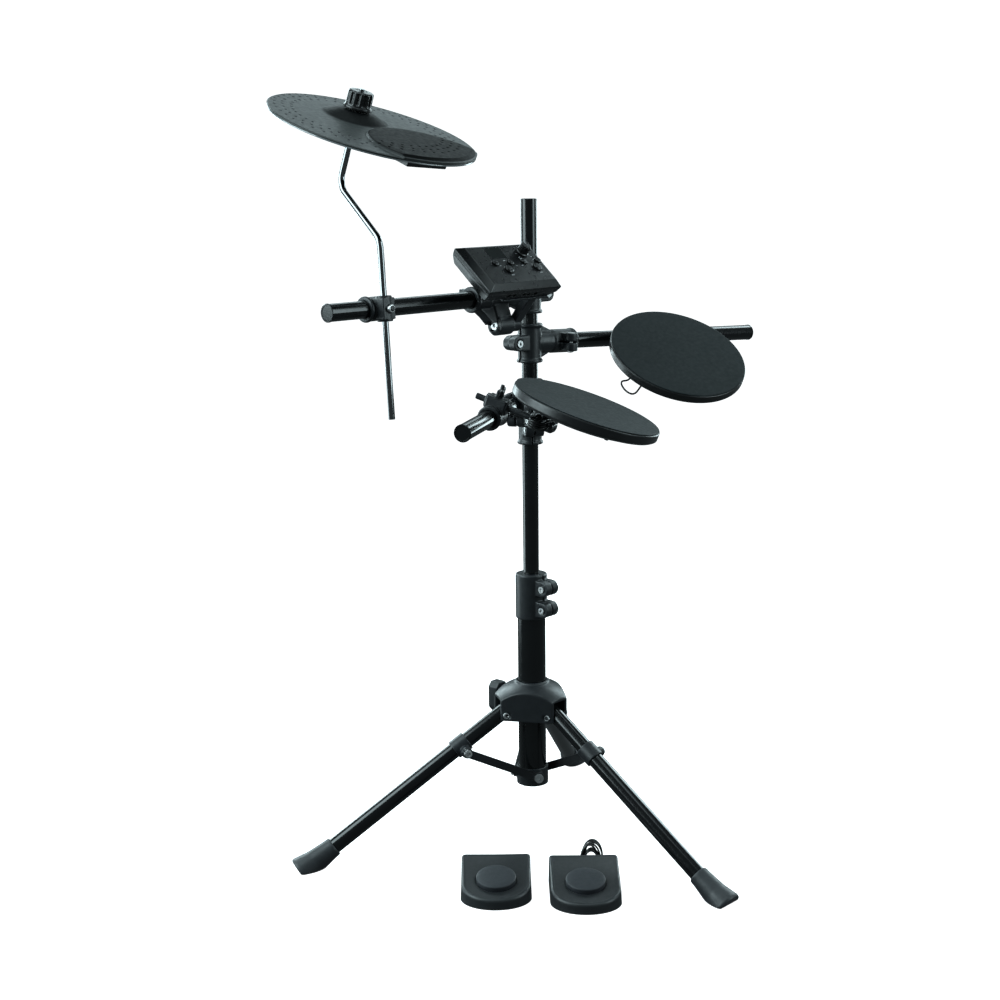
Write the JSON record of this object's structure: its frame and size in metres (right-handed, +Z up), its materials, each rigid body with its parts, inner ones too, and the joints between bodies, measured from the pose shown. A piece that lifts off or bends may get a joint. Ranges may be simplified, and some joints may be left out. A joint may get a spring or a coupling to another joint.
{
  "type": "electronic drum kit",
  "caption": "Compact electronic drum kit: cymbal pad and drum pads on arms clamped to a folding tripod mast, with a sound module and floor trigger pedals.",
  "frame": {"origin": "floor level under the middle of the kit's bounding box, leads left out", "axes": "+Z up, the player sits on the -Y side, +X is the player's right"},
  "size_m": [0.9252, 0.638, 1.1867],
  "materials": {
    "black_steel": "satin black steel",
    "board": "green circuit board with dark display",
    "boot_rubber": "satin charcoal rubber",
    "bush": "natural plastic bush",
    "case_plastic": "satin charcoal ABS",
    "chrome": "polished chrome",
    "cymbal_skin": "dimpled satin rubber",
    "gloss_cap": "gloss black knob",
    "gloss_tube": "gloss black powder coat",
    "head_rubber": "fine-grained matte rubber",
    "key_plastic": "satin black keys",
    "lead": "black cable jacket",
    "moulding": "satin charcoal glass-filled plastic",
    "pad_shell": "satin black plastic",
    "sensor_metal": "plain steel plate, piezo and foam",
    "zinc": "bright zinc plating"
  },
  "bodies": {
    "base": {"lower_tube": "gloss_tube", "base_collar": "moulding", "height_clamp": "moulding", "stand_bolts": "zinc"},
    "mast_bush": {"mast_bush": "bush"},
    "mast": {"mast": "gloss_tube"},
    "hub": {"tripod_hub": "moulding"},
    "hub_lock_knob": {"hub_lock_knob": "moulding"},
    "left_side": {"left_clamp": "moulding", "left_clamp_bolts": "zinc", "left_arm": "gloss_tube"},
    "rod_clamp": {"rod_clamp": "moulding"},
    "cymbal_rod": {"cymbal_rod": "chrome"},
    "cymbal": {"cymbal_plate": "pad_shell", "cymbal_rubber": "cymbal_skin"},
    "cymbal_knob": {"cymbal_knob": "gloss_cap"},
    "module": {"module_bracket": "case_plastic", "module_rear": "case_plastic", "module_front": "case_plastic", "module_board": "board"},
    "module_knob": {"module_knob": "key_plastic"},
    "right_side": {"right_clamp": "moulding", "right_clamp_bolts": "zinc", "right_arm": "gloss_tube"},
    "tom": {"tom_clamp": "moulding", "tom_shell": "pad_shell", "tom_head": "head_rubber", "tom_sensor": "sensor_metal", "tom_lead": "lead"},
    "low_side": {"snare_clamp": "moulding", "snare_clamp_bolts": "zinc", "snare_arm": "gloss_tube"},
    "snare": {"snare_pad_clamp": "moulding", "snare_shell": "pad_shell", "snare_head": "head_rubber", "snare_sensor": "sensor_metal", "snare_lead": "lead"},
    "pedal_left": {"pedal_left_shell": "case_plastic"},
    "pedal_left_disc": {"pedal_left_disc": "head_rubber"},
    "pedal_right": {"pedal_right_shell": "case_plastic", "pedal_lead": "lead"},
    "pedal_right_disc": {"pedal_right_disc": "head_rubber"},
    "leg_left": {"leg_tube_left": "gloss_tube", "leg_foot_left": "boot_rubber", "leg_bracket_left": "moulding"},
    "strut_left": {"strut_left": "black_steel"},
    "leg_front": {"leg_tube_front": "gloss_tube", "leg_foot_front": "boot_rubber", "leg_bracket_front": "moulding"},
    "strut_front": {"strut_front": "black_steel"},
    "leg_rear": {"leg_tube_rear": "gloss_tube", "leg_foot_rear": "boot_rubber", "leg_bracket_rear": "moulding"},
    "strut_rear": {"strut_rear": "black_steel"},
    "button_small_1": {"button_small_1": "key_plastic"},
    "button_small_2": {"button_small_2": "key_plastic"},
    "button_small_3": {"button_small_3": "key_plastic"},
    "button_small_4": {"button_small_4": "key_plastic"},
    "button_big_1": {"button_big_1": "key_plastic"},
    "button_big_2": {"button_big_2": "key_plastic"}
  },
  "joints": [
    {"name": "mast_swivel", "type": "hinge", "parent": "base", "child": "mast_bush", "pos_m": [-0.01855, 0.07584, 0.006], "axis": [0, 0, 1], "range_deg": [-60, 60]},
    {"name": "mast_height", "type": "slide", "parent": "mast_bush", "child": "mast", "axis": [0, 0, 1], "range_m": [-0.08, 0.08]},
    {"name": "hub_slide", "type": "slide", "parent": "base", "child": "hub", "axis": [0, 0, 1], "range_m": [0, 0.099]},
    {"name": "hub_lock_turn", "type": "hinge", "parent": "hub", "child": "hub_lock_knob", "pos_m": [-0.01855, 0.07584, 0.228], "axis": [-0.0958, 0.9954, 0], "continuous": true},
    {"name": "leg_fold_left", "type": "hinge", "parent": "hub", "child": "leg_left", "pos_m": [-0.06405, 0.09658, 0.221], "axis": [-0.4147, -0.91, 0], "range_deg": [0, 56]},
    {"name": "strut_fold_left", "type": "hinge", "parent": "base", "child": "strut_left", "pos_m": [-0.03016, 0.05036, 0.114], "axis": [0.4147, 0.91, 0], "range_deg": [0, 45.35]},
    {"name": "leg_fold_front", "type": "hinge", "parent": "hub", "child": "leg_front", "pos_m": [-0.01376, 0.02607, 0.221], "axis": [0.9954, 0.0958, 0], "range_deg": [0, 56]},
    {"name": "strut_fold_front", "type": "hinge", "parent": "base", "child": "strut_front", "pos_m": [0.00932, 0.07853, 0.114], "axis": [-0.9954, -0.0958, 0], "range_deg": [0, 45.35]},
    {"name": "leg_fold_rear", "type": "hinge", "parent": "hub", "child": "leg_rear", "pos_m": [0.02216, 0.10488, 0.221], "axis": [-0.5807, 0.8141, 0], "range_deg": [0, 56]},
    {"name": "strut_fold_rear", "type": "hinge", "parent": "base", "child": "strut_rear", "pos_m": [-0.03481, 0.09864, 0.114], "axis": [0.5807, -0.8141, 0], "range_deg": [0, 45.35]},
    {"name": "left_swivel", "type": "hinge", "parent": "mast", "child": "left_side", "pos_m": [-0.01855, 0.07584, 0.006], "axis": [0, 0, 1], "range_deg": [-20, 20]},
    {"name": "rod_tilt", "type": "hinge", "parent": "left_side", "child": "rod_clamp", "pos_m": [-0.33661, 0.05137, 0.8826], "axis": [-0.9971, -0.0767, 0], "range_deg": [-10, 10]},
    {"name": "rod_height", "type": "slide", "parent": "rod_clamp", "child": "cymbal_rod", "axis": [-0.005, 0.0643, 0.9979], "range_m": [-0.05, 0.08]},
    {"name": "cymbal_sway", "type": "hinge", "parent": "cymbal_rod", "child": "cymbal", "pos_m": [-0.31294, 0.11666, 1.144], "axis": [0.9977, 0.0227, -0.0642], "range_deg": [-4, 4]},
    {"name": "cymbal_knob_turn", "type": "hinge", "parent": "cymbal_rod", "child": "cymbal_knob", "pos_m": [-0.31294, 0.11666, 1.144], "axis": [0.0681, -0.3318, 0.9409], "continuous": true},
    {"name": "module_tilt", "type": "hinge", "parent": "left_side", "child": "module", "pos_m": [-0.06932, 0.05789, 0.8426], "axis": [-0.9971, -0.0767, 0], "range_deg": [-15, 8]},
    {"name": "module_knob_turn", "type": "hinge", "parent": "module", "child": "module_knob", "pos_m": [-0.08099, 0.02482, 0.95041], "axis": [0.0497, -0.6462, 0.7615], "continuous": true},
    {"name": "button_small_1_press", "type": "slide", "parent": "module", "child": "button_small_1", "axis": [-0.0497, 0.6462, -0.7615], "range_m": [0, 0.0012], "stiffness_N_per_m": 500},
    {"name": "button_small_2_press", "type": "slide", "parent": "module", "child": "button_small_2", "axis": [-0.0497, 0.6462, -0.7615], "range_m": [0, 0.0012], "stiffness_N_per_m": 500},
    {"name": "button_small_3_press", "type": "slide", "parent": "module", "child": "button_small_3", "axis": [-0.0497, 0.6462, -0.7615], "range_m": [0, 0.0012], "stiffness_N_per_m": 500},
    {"name": "button_small_4_press", "type": "slide", "parent": "module", "child": "button_small_4", "axis": [-0.0497, 0.6462, -0.7615], "range_m": [0, 0.0012], "stiffness_N_per_m": 500},
    {"name": "button_big_1_press", "type": "slide", "parent": "module", "child": "button_big_1", "axis": [-0.0497, 0.6462, -0.7615], "range_m": [0, 0.0012], "stiffness_N_per_m": 500},
    {"name": "button_big_2_press", "type": "slide", "parent": "module", "child": "button_big_2", "axis": [-0.0497, 0.6462, -0.7615], "range_m": [0, 0.0012], "stiffness_N_per_m": 500},
    {"name": "right_swivel", "type": "hinge", "parent": "mast", "child": "right_side", "pos_m": [-0.01855, 0.07584, 0.006], "axis": [0, 0, 1], "range_deg": [-10, 25]},
    {"name": "tom_tilt", "type": "hinge", "parent": "right_side", "child": "tom", "pos_m": [0.20351, 0.06031, 0.80184], "axis": [0.9969, -0.0697, -0.0366], "range_deg": [-15, 15]},
    {"name": "low_swivel", "type": "hinge", "parent": "mast", "child": "low_side", "pos_m": [-0.01855, 0.07584, 0.006], "axis": [0, 0, 1], "range_deg": [-25, 10]},
    {"name": "snare_tilt", "type": "hinge", "parent": "low_side", "child": "snare", "pos_m": [-0.16464, -0.00216, 0.71832], "axis": [-0.8809, -0.4704, -0.0523], "range_deg": [-12, 12]},
    {"name": "pedal_left_place", "type": "slide", "parent": "base", "child": "pedal_left", "axis": [-0.6691, -0.7431, 0], "range_m": [-0.02, 0.12]},
    {"name": "pedal_left_press", "type": "slide", "parent": "pedal_left", "child": "pedal_left_disc", "axis": [0.1281, 0.1423, -0.9815], "range_m": [0, 0.003], "stiffness_N_per_m": 4000},
    {"name": "pedal_right_place", "type": "slide", "parent": "base", "child": "pedal_right", "axis": [-0.6691, -0.7431, 0], "range_m": [-0.02, 0.12]},
    {"name": "pedal_right_press", "type": "slide", "parent": "pedal_right", "child": "pedal_right_disc", "axis": [0.1171, 0.1301, -0.9846], "range_m": [0, 0.003], "stiffness_N_per_m": 4000}
  ],
  "couplings": [
    {"joint": "leg_fold_left", "follows": "hub_slide", "rad_per_m": 9.8373},
    {"joint": "strut_fold_left", "follows": "hub_slide", "rad_per_m": 7.9595},
    {"joint": "leg_fold_front", "follows": "hub_slide", "rad_per_m": 9.8373},
    {"joint": "strut_fold_front", "follows": "hub_slide", "rad_per_m": 7.9595},
    {"joint": "leg_fold_rear", "follows": "hub_slide", "rad_per_m": 9.8373},
    {"joint": "strut_fold_rear", "follows": "hub_slide", "rad_per_m": 7.9595}
  ]
}
